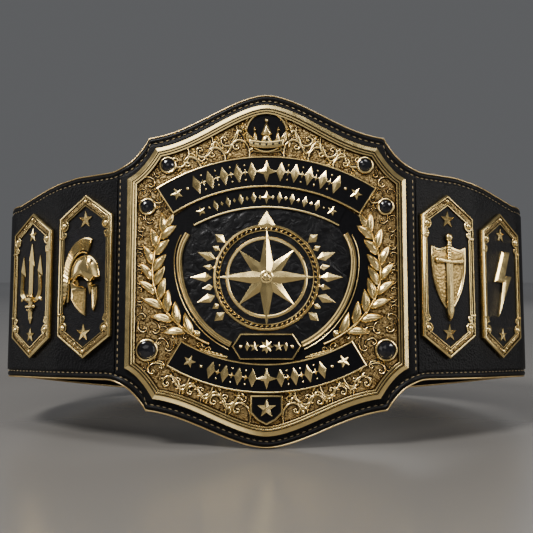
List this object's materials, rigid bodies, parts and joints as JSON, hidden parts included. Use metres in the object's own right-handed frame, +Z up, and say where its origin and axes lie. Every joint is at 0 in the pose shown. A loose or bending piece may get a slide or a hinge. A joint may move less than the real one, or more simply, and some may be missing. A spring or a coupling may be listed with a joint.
{
  "type": "championship title belt",
  "caption": "Title belt: a black leather strap closed in a waist loop, with a tall cast crest-shaped main plate in front and small hexagonal plates at the sides.",
  "frame": {"origin": "on the floor under the middle of the part's box", "axes": "+Z up, the main plate faces -Y, the closed loop runs back along +Y, +X to the right of someone who looks at the main plate"},
  "size_m": [0.4412, 0.297, 0.2663],
  "materials": {
    "strap_leather": "smooth black leather, slightly polished on the rolled rim",
    "panel_leather": "black pebbled leather overlay",
    "gilt_binding": "gilt edge piping",
    "stud_metal": "burnished press stud metal",
    "gold": "polished antique gold plating with dark recesses",
    "black_enamel": "black enamel infill, satin",
    "black_stone": "black cut stone, highly polished"
  },
  "bodies": {
    "root": {"strap": "strap_leather", "center_panel": "panel_leather", "side_panel_left": "panel_leather", "side_panel_right": "panel_leather", "binding_top": "gilt_binding", "binding_bottom": "gilt_binding", "binding_end_left": "gilt_binding", "binding_end_right": "gilt_binding", "press_stud_1": "stud_metal", "press_stud_2": "stud_metal", "press_stud_3": "stud_metal", "press_stud_4": "stud_metal", "main_plate": "gold", "center_ground": "black_enamel", "medallion": "black_enamel", "upper_banner": "gold", "second_band": "gold", "lower_banner": "gold", "plaque": "gold", "emblem": "gold", "crown": "gold", "star_badge": "gold", "laurel_left": "gold", "laurel_right": "gold", "arch_left": "gold", "arch_right": "gold", "stone_upper_left": "black_stone", "stone_upper_right": "black_stone", "stone_shoulder_left": "black_stone", "stone_shoulder_right": "black_stone", "stone_lower_left": "black_stone", "stone_lower_right": "black_stone", "side_plate_inner_left": "gold", "side_plate_inner_right": "gold", "side_plate_outer_left": "gold", "side_plate_outer_right": "gold", "side_ground_inner_left": "black_enamel", "side_ground_inner_right": "black_enamel", "side_ground_outer_left": "black_enamel", "side_ground_outer_right": "black_enamel", "helmet_motif": "gold", "sword_motif": "gold", "trident_motif": "gold", "bolt_motif": "gold", "star_inner_left_top": "gold", "star_inner_left_foot": "gold", "star_inner_right_top": "gold", "star_inner_right_foot": "gold", "star_outer_left_top": "gold", "star_outer_left_foot": "gold", "star_outer_right_top": "gold", "star_outer_right_foot": "gold"}
  },
  "joints": []
}
